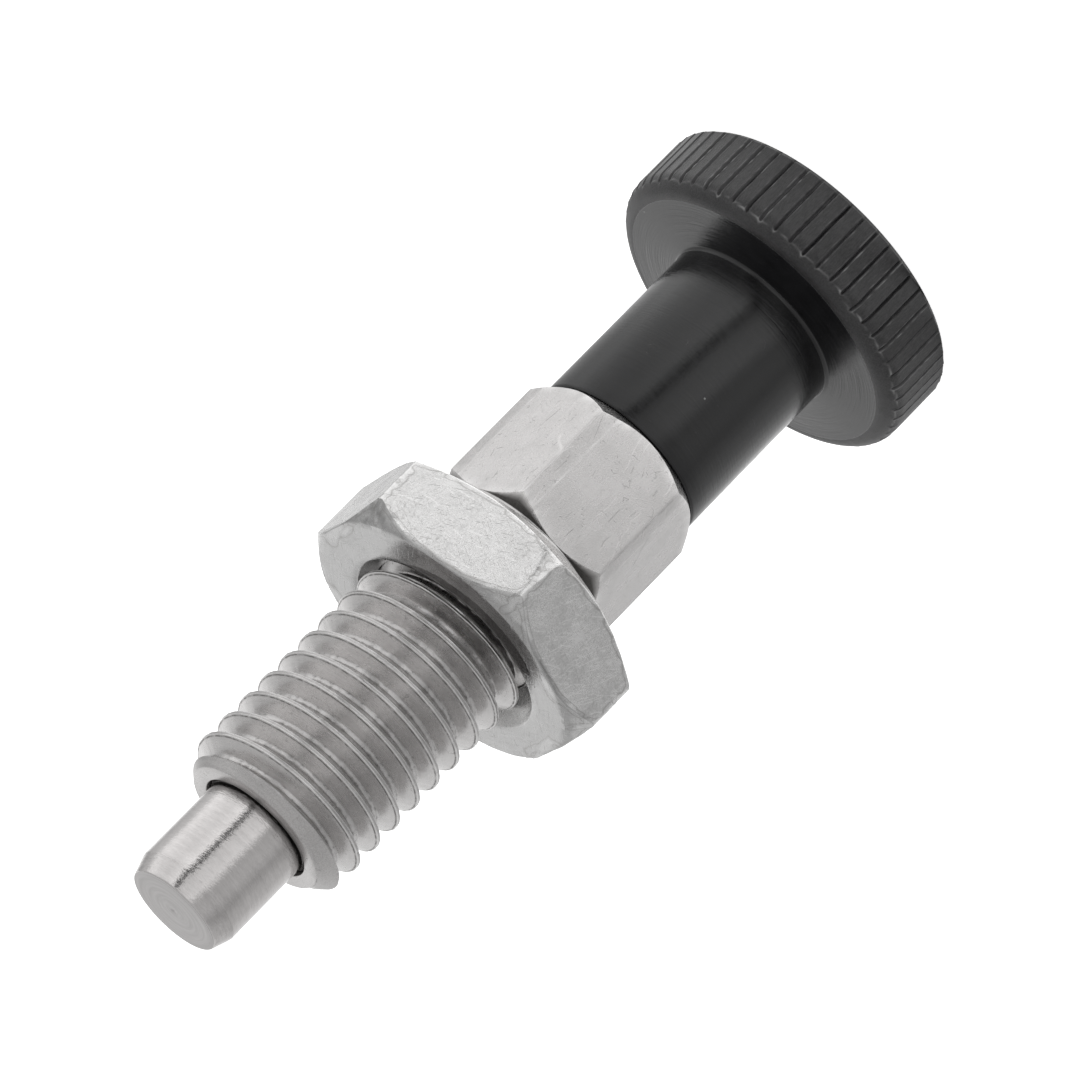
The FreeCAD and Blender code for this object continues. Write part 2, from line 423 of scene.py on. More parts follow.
def pinSteel():
    # Fine broken marks round it that fray its reflections, wider streaks, and rings on the end face.
    material, tree, shader = newMaterial("ground_steel", 1.0)
    radius, direction, height = turnedPlace(tree)[1:]
    ground = turnedMarks(tree, radius, direction, height, *pinFinish["ground"], 2.0)
    streaks = turnedMarks(tree, radius, direction, height, *pinFinish["streaks"], 4.0)
    rings = turnedMarks(tree, radius, direction, height, *pinFinish["rings"], 3.0)
    face = product(tree, isAbove(tree, height, pin["tip"] - 0.04),
                   isBelow(tree, radius, pin["tipRadius"] - 0.03))
    # painted shade and reflection of the gap: dark from just above the mouth inwards, with a ragged edge
    ragged = plus(tree, height, between(tree, streaks, 0.3, 0.7, -0.12, 0.12))
    inside = between(tree, ragged, body["mouth"] + 0.42, body["mouth"] + 0.02, 0.0, 1.0)
    tone = weighted(tree, (ground, 1.2), (streaks, 1.8))
    tone = mixValue(tree, face, tone, between(tree, rings, 0.35, 0.65, 0.1, 1.0))
    colour = mixColour(tree, tone, pinFinish["dark"], pinFinish["light"])
    colour = dimmed(tree, colour, mixValue(tree, face, 1.0, pinFinish["face"]))
    colour = mixColour(tree, inside, colour, pinFinish["inside"])
    base = between(tree, streaks, 0.3, 0.7, pinFinish["smooth"], pinFinish["rough"])
    connect(tree, shader, colour=colour, roughness=mixValue(tree, face, base, pinFinish["faceRough"]),
            normal=bump(tree, mixValue(tree, face, ground, rings), 1.0, pinFinish["bump"]))
    return material


springFinish = {"light": (0.6, 0.59, 0.58, 1), "dark": (0.45, 0.44, 0.43, 1), "smooth": 0.25, "rough": 0.4,
                "cloud": 4.0, "bump": 0.02}


def springSteel():
    # Drawn wire, with a slightly mottled surface.
    material, tree, shader = newMaterial("spring_wire", 1.0)
    place = turnedPlace(tree)[0]
    cloud = noise(tree, place, springFinish["cloud"], 4.0)
    tone = between(tree, cloud, 0.3, 0.7, 0.0, 1.0)
    connect(tree, shader, colour=mixColour(tree, tone, springFinish["dark"], springFinish["light"]),
            roughness=between(tree, cloud, 0.3, 0.7, springFinish["smooth"], springFinish["rough"]),
            normal=bump(tree, cloud, 0.3, springFinish["bump"]))
    return material


# Turned and anodised black; the land is the rim with its knurl
knobFinish = {"light": (0.009, 0.009, 0.01, 1), "dark": (0.002, 0.002, 0.0022, 1),
              "land": (0.034, 0.033, 0.034, 1), "pale": (0.24, 0.24, 0.24, 1), "smooth": 0.1, "rough": 0.24,
              "landRough": 0.42, "marks": 8.0, "grain": (15.0, 15.0, 2.5), "fine": 18.0, "cloud": 1.2,
              "faceFrom": 5.3, "faceBand": 0.22, "bump": 0.012}


def knobBlack():
    # Glossy with marks round it, a satin grain on the rim, pale lips next to the grooves, a painted highlight
    # that also runs over the knurl's step and the crease, and a few specks.
    material, tree, shader = newMaterial("black_knob", 0.0)
    place, radius, direction, height = turnedPlace(tree)
    marks = turnedMarks(tree, radius, direction, height, knobFinish["marks"], 2.2, 5.0)
    grain = noise(tree, scaled(tree, place, knobFinish["grain"]), 1.0, 4.0, 0.7)
    fine = noise(tree, place, knobFinish["fine"], 3.0, 0.6)
    cloud = noise(tree, place, knobFinish["cloud"], 3.0)
    wearAndHighlight, = attributes(tree, "wearAndHighlight")
    onLand = product(tree, isAbove(tree, radius, knob["crease"] + 0.01),
                     isBelow(tree, height, knob["face"] - 0.002))
    tone = weighted(tree, (marks, 2.0), (cloud, 1.0), (fine, 0.8))
    colour = mixColour(tree, largest(tree, tone, 0.0), knobFinish["dark"], knobFinish["light"])
    landTone = between(tree, weighted(tree, (grain, 2.6), (fine, 1.4), (cloud, 0.8)), 0.1, 1.0, 0.1, 1.0)
    colour = mixColour(tree, product(tree, onLand, landTone), colour, knobFinish["land"])
    # a few specks, and the painted highlight on the lips, the knurl's step and the crease
    dustAndHighlight = largest(tree, specks(tree, place, 1.1, 0.075, 0.12), product(tree, wearAndHighlight, 0.85))
    pale = largest(tree, dustAndHighlight, product(tree, hairs(tree, place, 0.9, 0.008, 0.36), 0.12))
    colour = mixColour(tree, pale, colour, knobFinish["pale"])
    roughness = between(tree, weighted(tree, (marks, 1.5), (cloud, 1.0)), 0.2, 0.8,
                        knobFinish["smooth"], knobFinish["rough"])
    # the face round the sleeve is glossier, with stronger rings
    middle = knob["face"] + 0.09
    onFace = product(tree, ridgeLine(tree, height, middle, knobFinish["faceBand"]),
                     isAbove(tree, radius, knobFinish["faceFrom"]))
    roughness = product(tree, roughness, between(tree, onFace, 0.0, 0.5, 1.0, 0.5))
    strong = product(tree, onFace, minus(tree, marks, 0.5), 3.0)
    marks = plus(tree, weighted(tree, (marks, 1.0), (fine, 0.5)), strong)
    heights = mixValue(tree, onLand, marks, weighted(tree, (grain, 2.0), (fine, 1.0)))
    connect(tree, shader, colour=colour, roughness=mixValue(tree, onLand, roughness, knobFinish["landRough"]),
            normal=bump(tree, heights, 0.6, knobFinish["bump"]))
    return material


# Tumbled steel with a duller turned front; the corner is how dark the darkest chamfer is painted
nutFinish = {"light": (0.86, 0.855, 0.85, 1), "dark": (0.5, 0.495, 0.49, 1), "scratch": (0.2, 0.19, 0.18, 1),
             "paintedShadeColour": (0.115, 0.11, 0.107, 1), "corner": 0.36, "smooth": 0.16, "rough": 0.32, "speckle": 13.0,
             "cloud": 0.8, "marks": (8.0, 5.0), "along": (8.0, 8.0, 1.4), "bump": 0.012}


def nutSteel():
    # Fine straight scratches both ways over bright flats, worn bright edges that also carry painted
    # highlight, a painted shade line next to them, pits, and a dark crescent by the thread, a painted
    # reflection of the thread.
    material, tree, shader = newMaterial("nut_steel", 1.0)
    place, radius, direction, height = turnedPlace(tree)
    speckle = noise(tree, place, nutFinish["speckle"], 4.0, 0.75)
    cloud = noise(tree, place, nutFinish["cloud"], 4.0, 0.6)
    turnedLines = turnedMarks(tree, radius, direction, height, *nutFinish["marks"], 4.0)
    along = noise(tree, scaled(tree, place, nutFinish["along"]), 1.0, 4.0, 0.7)
    scratch = largest(tree, scratches(tree, place, (0.42, 0.35, 0.84), 0.2, 0.02, 0.42, 1.5),
                      scratches(tree, place, (-0.6, 0.25, 0.76), 0.23, 0.018, 0.42, 1.7))
    bright = largest(tree, scratches(tree, place, (0.74, 0.55, -0.38), 0.19, 0.024, 0.46, 1.4),
                     scratches(tree, place, (-0.5, 0.8, 0.33), 0.22, 0.022, 0.46, 1.3))
    pitted = between(tree, noise(tree, place, 6.5, 4.0, 0.75), 0.54, 0.66, 0.0, 0.5)
    pitted = product(tree, pitted, between(tree, noise(tree, place, 0.45, 2.0), 0.45, 0.6, 0.1, 1.0))
    wearAndHighlight, paintedShade, front = attributes(tree, "wearAndHighlight", "paintedShade", "front")
    calm = between(tree, front, 0.0, 1.0, 1.0, 0.45)
    tone = weighted(tree, (speckle, product(tree, calm, 2.4)), (cloud, product(tree, calm, 0.9)),
                    (turnedLines, 0.6), (along, product(tree, calm, 0.5)), (plus(tree, bright, 0.5), 0.45))
    worn = plus(tree, wearAndHighlight, between(tree, speckle, 0.3, 0.7, -0.15, 0.15))
    tone = largest(tree, plus(tree, tone, 0.18, clamp=True), between(tree, worn, 0.2, 0.55, 0.0, 1.0))
    colour = mixColour(tree, tone, nutFinish["dark"], nutFinish["light"])
    colour = dimmed(tree, colour, between(tree, front, 0.0, 1.5, 1.0, nutFinish["corner"]))
    # a painted shade line next to the bright edges
    edge = product(tree, ridgeLine(tree, wearAndHighlight, 0.16, 0.1), between(tree, speckle, 0.38, 0.52, 0.12, 0.55))
    marredAndShaded = largest(tree, product(tree, scratch, 0.36), edge, product(tree, pitted, calm))
    colour = mixColour(tree, marredAndShaded, colour, nutFinish["scratch"])
    # painted shade: the crescent, a painted reflection of the thread, and the inner thread, darker deeper in
    streaked = plus(tree, paintedShade, between(tree, turnedLines, 0.3, 0.7, -0.05, 0.05))
    paintedShadeShare = between(tree, streaked, 0.485, 0.515, 0.0, 0.97)
    colour = mixColour(tree, paintedShadeShare, colour, nutFinish["paintedShadeColour"])
    roughness = between(tree, weighted(tree, (speckle, 1.0), (cloud, 1.4)), 0.2, 0.8,
                        nutFinish["smooth"], nutFinish["rough"])
    roughness = product(tree, roughness, between(tree, paintedShadeShare, 0.0, 1.0, 1.0, 0.6))
    heights = weighted(tree, (speckle, calm), (cloud, 1.2), (turnedLines, 0.4), (bright, -0.5))
    heights = minus(tree, heights, product(tree, scratch, 0.7))
    connect(tree, shader, colour=colour, roughness=roughness,
            normal=bump(tree, heights, 0.6, nutFinish["bump"]))
    return material


# The thread that the body and the nut share

thread = {"pitch": 1.5, "crest": 4.985, "root": 4.065, "crestFlat": 0.17, "flank": 30.0, "turn": -117.6,
          "columns": 150, "fadeLow": 0.9, "fadeHigh": 2.0}


def fromCrest(azimuth, height):
    # Distance along the axis from the nearest crest of the right-hand thread, at most half a pitch
    # either way.
    turns = height / thread["pitch"] - (azimuth - math.radians(thread["turn"])) / (2 * math.pi)
    return ((turns + 0.5) % 1 - 0.5) * thread["pitch"]


def windingGrid(low, high, phases):
    # Rows that wind along the thread, so that each crest and root keeps its own line of points:
    # height = whole pitches + phase + the share of a pitch that the angle has climbed.
    pitch, columns = thread["pitch"], thread["columns"]
    perTurn = len(phases)
    firstTurn = math.floor(low / pitch) - 2
    rows = (math.ceil(high / pitch) + 2 - firstTurn) * perTurn
    row = np.arange(rows)[:, None]
    column = np.arange(columns)[None, :]
    height = pitch * (firstTurn + row // perTurn + column / columns) + np.asarray(phases)[row % perTurn]
    azimuth = math.radians(thread["turn"]) + 2 * math.pi * column / columns + 0 * row
    row, column = np.meshgrid(np.arange(rows - 1), np.arange(columns), indexing="ij")
    inside = column + 1 < columns
    a = row * columns + column
    b = np.where(inside, a + 1, (row + perTurn) * columns)
    c = np.where(inside, a + columns + 1, (row + 1 + perTurn) * columns)
    faces = np.stack([a, b, c, a + columns], axis=-1)[inside | (row + 1 + perTurn < rows)]
    return azimuth, height, faces


def cutAbove(form, height, above):
    # Takes away what lies above (or below) a height.
    everything = form.verts[:] + form.edges[:] + form.faces[:]
    bmesh.ops.bisect_plane(form, geom=everything, dist=1e-9, plane_co=(0, 0, height * millimetre),
                           plane_no=(0, 0, 1), clear_outer=above, clear_inner=not above)


def joinRims(form, low, high):
    # Joins the two open rims whose edges lie between two heights.
    rim = [e for e in form.edges if e.is_boundary
           and low * millimetre < e.verts[0].co.z < high * millimetre]
    bmesh.ops.bridge_loops(form, edges=rim)


def addSurface(form, mesh):
    # Adds a mesh and its attributes to a form in the making.
    form.from_mesh(mesh)
    bpy.data.meshes.remove(mesh)


def formPiece(form, name, crease):
    bmesh.ops.recalc_face_normals(form, faces=form.faces[:])
    mesh = bpy.data.meshes.new(name)
    form.to_mesh(mesh)
    form.free()
    return makePiece(mesh, crease)


def hexagonColumns(sector, corner):
    # The same steps of azimuth after each of the six corners, in radians.
    return np.radians(np.add.outer(60.0 * np.arange(6), sector).ravel() + corner)[None, :]


def hexagonRadius(azimuth, flats, corner):
    # Distance to a hexagon's flat, and the angle from its nearest corner, with a corner at an angle.
    offset = (azimuth - math.radians(corner) + math.pi / 6) % (math.pi / 3) - math.pi / 6
    return flats / 2 / np.cos(math.pi / 6 - np.abs(offset)), offset


# The threaded body

body = {"flats": 10.0, "length": 7.6, "circle": 9.9, "facetWidth": 0.8, "facetLean": 8.0, "crisp": 0.008,
        "soft": 0.05, "crispCorner": -60.0, "rearEdge": 0.07, "frontEdge": 0.03, "mouth": 20.0, "bore": 3.22,
        "boreFloor": 3.38, "chamber": 2.75, "chamberFloor": -6.0, "rodHole": 1.81, "seam": 0.03,
        "crestSoft": 0.016, "rootSoft": 0.07, "mouthSoft": 0.03, "dish": 0.02, "dishWidth": 0.05,
        "waviness": 0.005, "nicks": 170, "rootShadeAway": 0.68, "shadeWidth": 0.06}
# one winding of the thread, in millimetres from its crest
threadPhases = [0.0, 0.045, 0.068, 0.08, 0.092, 0.115, 0.17, 0.22, 0.31, 0.4, 0.5, 0.565, 0.6, 0.64,
                0.75, 0.86, 0.9, 0.935, 1.0, 1.1, 1.19, 1.28, 1.33, 1.385, 1.408, 1.42, 1.432, 1.455]
# one sixth of the collar, in degrees from its corner
sectorAngles = [0, 0.5, 0.9, 1.1, 1.25, 1.4, 1.7, 2.3, 3.3, 5, 9, 13, 18, 24, 30, 36, 42, 47, 50, 51.8, 52.4,
                52.7, 53, 53.6, 55, 56.5, 58, 59.3]


def threadSurface(azimuth, height):
    # Radius of the outer thread: a narrow crest, hollow between its two edges, 30 degree flanks and
    # a rounded root. It starts gradually above the seat and ends in the cone at the mouth.
    deep = thread["crest"] - thread["root"]
    slope = math.tan(math.radians(thread["flank"]))
    away = np.abs(fromCrest(azimuth, height))
    flank = (away - thread["crestFlat"] / 2) / slope
    cut = -softMin(-softMin(flank, deep + 0 * flank, body["rootSoft"]), 0 * flank, body["crestSoft"])
    place = around(thread["crest"], azimuth, height)
    cut = cut + body["dish"] * bell(away, body["dishWidth"]) * (0.8 + 0.2 * ripple(place, 1.4, 21))
    cut = cut + body["waviness"] * (1 + ripple(place, 0.7, 22) + 0.6 * ripple(place, 0.3, 23))
    start = smoothStep((height - thread["fadeLow"]) / (thread["fadeHigh"] - thread["fadeLow"]))
    radius = thread["crest"] - np.maximum(cut, 0) * start
    cone = thread["root"] + body["mouth"] - height
    # on the cone the distance is set to one where no crest or root mark shows
    return softMin(radius, cone, body["mouthSoft"]), np.where(cone < radius + 0.02, 0.4, away)


def nickDepth(points, count, seed):
    # Small dents at random places along the crests: the sum of bell shapes.
    draw = np.random.default_rng(seed)
    angle = draw.uniform(0, 2 * math.pi, count)
    level = thread["pitch"] * ((angle - math.radians(thread["turn"])) / (2 * math.pi)
                               + draw.integers(1, 13, count))
    level += draw.normal(0, 0.05, count)
    centres = around(thread["crest"], angle, level)
    width = draw.uniform(0.05, 0.16, count)
    depth = draw.uniform(0.01, 0.05, count)
    total = np.zeros(len(points))
    for k in range(count):
        away = ((points - centres[k]) ** 2).sum(axis=1)
        total += depth[k] * np.exp(-away / width[k] ** 2)
    return total


def makeBody():
    azimuth, height, faces = windingGrid(0, body["mouth"], threadPhases)
    radius, away = threadSurface(azimuth, height)
    radius = np.maximum(radius, 1.0)  # past the mouth the cone would cross the axis; that part is cut off
    points = around(radius, azimuth, height).reshape(-1, 3)
    dents = nickDepth(points, body["nicks"], spotSeed)
    points[:, :2] *= (1 - dents / radius.ravel())[:, None]
    # lighter crest edges are a painted highlight; darker roots and crest middles are painted shade
    wearAndHighlight = 0.3 * bell(away - thread["crestFlat"] / 2, 0.05)
    torn = np.clip(ripple(points, 0.45, 24) - 0.4, 0, 1).reshape(away.shape)
    paintedShade = bell(away - body["rootShadeAway"], body["shadeWidth"]) * (0.35 + 0.7 * torn)
    paintedShade = np.clip((paintedShade + 0.35 * bell(away, body["shadeWidth"])) * (height > 1.6), 0, 1)
    upper = np.clip(0.5 + 6 * fromCrest(azimuth, height), 0, 1)
    marks = {"wearAndHighlight": wearAndHighlight, "paintedShade": paintedShade, "away": away, "upper": upper}
    form = bmesh.new()
    addSurface(form, makeMesh("winding", points, faces, marks))
    cutAbove(form, body["mouth"] - body["seam"], True)
    cutAbove(form, 0.0, False)

    # the rest: end face, bore, spring chamber, rod hole, rear face, and the hexagonal collar
    columns = hexagonColumns(sectorAngles, 0)
    mouth, back, hub, crest = body["mouth"], -body["length"], body["circle"] / 2, thread["crest"]
    bore, boreFloor, chamber, hole = (body[k] for k in ("bore", "boreFloor", "chamber", "rodHole"))
    inner = roundedPath([(thread["root"] - body["seam"], mouth, 0), (bore, mouth, 0.06),
                         (bore, boreFloor, 0.03), (chamber, boreFloor, 0.03),
                         (chamber, body["chamberFloor"], 0.1), (hole, body["chamberFloor"], 0.05),
                         (hole, back, 0.1), (hub, back, 0)], 1.0)
    flat, offset = hexagonRadius(columns, body["flats"], 0)
    lean = math.radians(body["facetLean"])
    halfSide = body["flats"] / 2 * math.tan(math.pi / 6)
    facetReach = (halfSide - body["facetWidth"]) * math.sin(lean) + body["flats"] / 2 * math.cos(lean)
    isCrisp = np.abs(turnFrom(columns, body["crispCorner"])) < math.pi / 6
    outer = softMin(flat, facetReach / np.cos(math.pi / 6 - lean + offset),
                    np.where(isCrisp, body["crisp"], body["soft"]))
    rise, shank = outer - hub, crest - hub
    rearArc = body["rearEdge"] * roundCorner((-1, -1), (0, 1), 5)
    frontArc = body["frontEdge"] * roundCorner((0, -1), (-1, 1), 5)
    side = np.linspace(0, 1, 15)[1:-1, None]
    low, high = back + rise + 0.1, -rise - 0.1
    rows = [(inner[:, :1], inner[:, 1:])]
    rows += [(hub + rise * share, back + rise * share) for share in (0.3, 0.6)]
    rows += [(outer + rearArc[:, :1], back + rise + rearArc[:, 1:]), (outer, low + (high - low) * side),
             (outer + frontArc[:, :1], -rise + frontArc[:, 1:]),
             (crest + (rise - shank) * 0.4, -shank - (rise - shank) * 0.4), (crest + 0.004, -shank - 0.004)]
    radii, heights = stacked(rows, columns)
    grid = around(radii, columns, heights)
    onCollar = (heights < -0.05) * (radii > hub - 0.05)
    degrees = np.degrees(offset)
    # the collar's edges and corners are lighter: worn, and painted highlight
    edge = bell(radii - outer, 0.1) * (bell(heights + rise, 0.12) + bell(heights - back - rise, 0.15))
    corner = (bell(degrees - 1.2, 0.3) + 0.8 * bell(degrees + 7.3, 0.5)) * onCollar
    wearAndHighlight = np.clip((edge + 0.8 * corner) * (0.6 + 0.5 * ripple(grid, 0.5, 25)), 0, 1) * 0.8
    # painted shade in the bore below the mouth and in a thin line next to each collar corner
    paintedShade = 0.45 * (radii < bore + 0.01) * np.clip((heights - 17.0) / 2.0, 0, 1)
    paintedShade = paintedShade + 0.45 * bell(degrees - 2.0, 0.3) * onCollar
    onFront = (heights > -rise - 0.01) * (heights < 0.01) * (radii > hub) * (radii < outer - 0.01)
    marks = {"wearAndHighlight": wearAndHighlight, "paintedShade": paintedShade, "shaded": onFront * np.clip(rise / 0.15, 0, 1)}
    addSurface(form, makeMesh("rest", grid.reshape(-1, 3), ringFaces(len(radii), columns.size), marks))
    joinRims(form, body["mouth"] - 1, body["mouth"] + 1)
    joinRims(form, -1.0, 1.0)
    return formPiece(form, "threaded_body_piece", 35)


finishPiece(makeBody(), "threaded_body", "housing", bodySteel())


# The indexing pin

pin = {"tip": 26.0, "tipRadius": 2.65, "radius": 3.0, "taper": 1.05, "land": 3.2, "landFront": 19.88,
       "landRear": 9.88, "rod": 1.75, "rodEnd": -18.15, "rodPoint": 0.4, "dimple": 0.22, "dimpleDepth": 0.03,
       "columns": 144}


def makePin():
    # A turned profile: the tapered tip with a faint dimple, the guide land and the long thin rod.
    rod, land, radius, tip = (pin[k] for k in ("rod", "land", "radius", "tip"))
    rodEnd, landRear, landFront = (pin[k] for k in ("rodEnd", "landRear", "landFront"))
    path = roundedPath([(0.3, rodEnd, 0), (rod - pin["rodPoint"], rodEnd, 0.1),
                        (rod, rodEnd + pin["rodPoint"], 0.1), (rod, landRear, 0.1), (land, landRear, 0.1),
                        (land, landFront - (land - radius), 0.05), (radius, landFront, 0.05),
                        (radius, tip - pin["taper"], 0.25), (pin["tipRadius"], tip, 0.1),
                        (pin["dimple"], tip, 0.05), (0.04, tip - pin["dimpleDepth"], 0)], 0.4)
    azimuth = np.linspace(0, 2 * math.pi, pin["columns"], endpoint=False)[None, :]
    grid = around(path[:, :1], azimuth, path[:, 1:])
    return makePiece(makeMesh("indexing_pin_piece", withPoles(grid), poledFaces(len(path), pin["columns"])))


finishPiece(makePin(), "indexing_pin", "plunger", pinSteel())


# The return spring

spring = {"wire": 0.6, "diameter": 5.2, "turns": 10.0, "closed": 1.0, "gap": 0.04, "low": -5.97, "high": 9.85,
          "perTurn": 40, "sides": 14}


def makeSpring():
    # A circle carried along a helix whose end turns lie closed; its ends are ground flat.
    mean = (spring["diameter"] - spring["wire"]) / 2
    closedPitch = spring["wire"] + spring["gap"]
    openTurns = spring["turns"] - 2 * spring["closed"]
    extra = (spring["high"] - spring["low"] - closedPitch * spring["turns"]) / openTurns
    turn = np.linspace(0, spring["turns"], int(spring["turns"] * spring["perTurn"]) + 1)[:, None]
    side = np.linspace(0, 2 * math.pi, spring["sides"], endpoint=False)[None, :]
    level = spring["low"] + closedPitch * turn + extra * np.clip(turn - spring["closed"], 0, openTurns)
    radius = mean - spring["wire"] / 2 * np.cos(side)
    height = np.clip(level + spring["wire"] / 2 * np.sin(side), spring["low"], spring["high"])
    grid = around(radius, 2 * math.pi * turn, height)
    return makePiece(makeMesh("return_spring_piece", withPoles(grid), poledFaces(len(turn), spring["sides"])))


springPiece = makeSpring()
finishPiece(springPiece, "return_spring", "housing", springSteel())
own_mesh(springPiece)


# The pull knob

knob = {"rear": -23.05, "face": -18.55, "neckFace": -18.36, "radius": 9.15, "largest": 9.168,
        "rearChamfer": 0.28, "sleeve": 5.0, "sleeveFront": -7.65, "neck": 0.22, "socket": 1.76,
        "socketEnd": -18.15, "rimRadius": 1.07, "crease": 8.1, "rimFrom": 8.5, "grooves": 60, "depth": 0.15,
        "halfWidth": 0.11, "lip": 0.03, "lipAside": 0.135, "lean": 0.016, "wander": 0.004, "end": -19.08,
        "step": 0.028, "seed": 7}
# one groove and half a land on each side, in millimetres round the rim from the groove's middle
grooveColumns = [-0.26, -0.19, -0.158, -0.135, -0.112, -0.07, -0.025,
                 0.025, 0.07, 0.112, 0.135, 0.158, 0.2, 0.3]
rimSteps = [0, 5, 10, 14, 17, 20, 22.5, 25, 27, 29, 31, 33, 35.5, 38, 42, 48, 56, 65, 75, 85, 95, 102,
            106, 108.4]


def makeKnob():
    # A turned profile: rear face, rim, round front edge that ends in a crease, a face that rises a
    # little towards the neck, and sleeve. On the rim each sixtieth of the way round has a narrow V with
    # raised lips, between flat lands that lean a little, and the knurl ends in a ragged, scalloped step.
    draw = np.random.default_rng(knob["seed"])
    outside, back, chamfer, crease = (knob[k] for k in ("radius", "rear", "rearChamfer", "crease"))
    sleeve, sleeveFront = knob["sleeve"], knob["sleeveFront"]
    socket, socketEnd = knob["socket"], knob["socketEnd"]
    hub = outside - knob["rimRadius"]
    last = math.acos((crease - hub) / knob["rimRadius"])
    centre = knob["face"] - knob["rimRadius"] * math.sin(last)
    rear = roundedPath([(0.4, back, 0), (outside - chamfer, back, 0.06), (outside, back + chamfer, 0.06),
                        (outside, back + 0.65, 0)], 1.6)
    side = np.linspace(back + 0.8, centre, 20, endpoint=False)
    side = np.stack([outside + 0 * side, side], axis=-1)
    turn = np.append(np.radians(rimSteps), last)
    rim = np.array([hub, centre]) + knob["rimRadius"] * np.stack([np.cos(turn), np.sin(turn)], axis=-1)
    rest = roundedPath([(crease - 0.03, knob["face"], 0), (sleeve, knob["neckFace"], knob["neck"]),
                        (sleeve, sleeveFront, 0.2), (socket, sleeveFront, 0.08), (socket, socketEnd, 0.05),
                        (0.3, socketEnd, 0)], 1.2, 7)
    path = np.concatenate([rear, side, rim, rest])

    count = knob["grooves"]
    pitch = 2 * math.pi * outside / count
    across = np.tile(np.array(grooveColumns), count)[None, :]
    which = np.repeat(np.arange(count), len(grooveColumns))[None, :]
    azimuth = np.radians(360.0 / count * which + draw.normal(0, 0.1, count)[which]) + across / outside
    radius, height = path[:, :1] + 0 * azimuth, path[:, 1:] + 0 * azimuth
    place = around(radius, azimuth, height)
    onRim = np.clip((radius - knob["rimFrom"]) / 0.2, 0, 1)
    onRim = onRim * (height < knob["face"] + 0.1) * (height > back + 0.02)

    ragged = 0.5 + 0.25 * np.clip(ripple(place, 0.5, 31), -2, 2)
    x = across + knob["wander"] * ripple(around(0 * radius + 9, azimuth * 0 + which, height), 1.5, 32)
    end = knob["end"] + draw.normal(0, 0.05, count)[which] + 0.1 * bell(x, 0.13) - 0.12 * (x / pitch) ** 2
    inside = smoothStep((end - height) / 0.05 + 0.5)
    deep = knob["depth"] * (1 + draw.normal(0, 0.15, count)[which])
    groove = deep * np.clip(1 - np.abs(x) / knob["halfWidth"], 0, 1) * np.clip((end - height) / 0.14, 0, 1)
    strength = np.clip(1 + draw.normal(0, 0.5, count), 0.1, 2)[which]
    lips = bell(x + knob["lipAside"], 0.03) + 0.5 * bell(x - knob["lipAside"], 0.026)
    lips = knob["lip"] * strength * ragged * lips
    fromLand = (x / pitch) % 1 - 0.5
    leaning = -2 * knob["lean"] * fromLand * (1 + draw.normal(0, 0.6, count)[which])
    flattened = -pitch ** 2 / (8 * outside) * (1 - (2 * fromLand) ** 2)
    ridge = knob["step"] * ragged * bell(end - height, 0.045)
    shape = inside * (lips + leaning + flattened - groove) + ridge - 0.02 * (1 - inside)
    grid = around(np.minimum(radius + onRim * shape, knob["largest"]), azimuth, height)
    # painted highlight on the lips, the knurl's ragged step and the crease
    wearAndHighlight = np.clip(onRim * (lips * inside / knob["lip"] + ridge / knob["step"]) * ragged, 0, 1)
    wearAndHighlight = wearAndHighlight + 0.6 * (np.abs(radius - crease) < 0.02) * (height > knob["face"] - 0.05)
    marks = {"wearAndHighlight": np.append(wearAndHighlight.ravel(), [0, 0])}
    mesh = makeMesh("pull_knob_piece", withPoles(grid), poledFaces(len(path), across.size), marks)
    return makePiece(mesh, 50)


finishPiece(makeKnob(), "pull_knob", "plunger", knobBlack())


# The lock nut

nut = {"flats": 15.76, "low": 1.05, "high": 6.05, "edge": 0.35, "corner": -89.5, "frontCircle": 16.0,
       "frontAngle": 45.0, "rearCircle": 14.0, "rearAngle": 30.0, "sink": 11.4, "minor": 4.2, "major": 5.055,
       "clear": 0.04, "worn": 0.13, "wave": 0.006, "sinkAside": 0.28, "sinkAzimuth": -171.6, "seam": 0.03,
       "lean": (0.0131, 0.021), "leanFrom": 5.1, "aside": 0.09, "asideFrom": 6.0, "tornAzimuth": -29.5,
       "tornWidth": 13.0}
# the dark crescent, a painted reflection of the thread: its outer line is a circle set aside; it ends where a
# sine round the axis passes zero
crescent = {"radius": 4.4, "aside": 2.45, "turn": 96.6, "end": 123.6}
# the corners that are knocked flat: azimuth, depth, how far the knock leans round, and where it ends
knocks = [{"corner": -89.5, "depth": 0.313, "turn": 8.7, "top": 5.05},
          {"corner": 30.5, "depth": 0.42, "turn": -5.0, "top": 20.0}]
# one sixth of the nut, in degrees from its corner
nutSector = [0, 0.3, 0.6, 0.9, 1.2, 1.6, 2.1, 2.8, 3.8, 5, 7, 9.5, 12.5, 16, 20, 25,
             30, 35, 40, 44, 47.5, 50.5, 53, 55, 56.2, 57.2, 57.9, 58.4, 58.8, 59.1, 59.4, 59.7]


def sinkAside(azimuth):
    # How far the front's off-centre countersink reaches beyond a centred one.
    return nut["sinkAside"] * np.cos(azimuth - math.radians(nut["sinkAzimuth"]))


def beforeEnd(azimuth):
    # Above a half where the dark crescent has not ended.
    return 0.5 + 1.5 * np.sin(azimuth + math.radians(crescent["end"]))


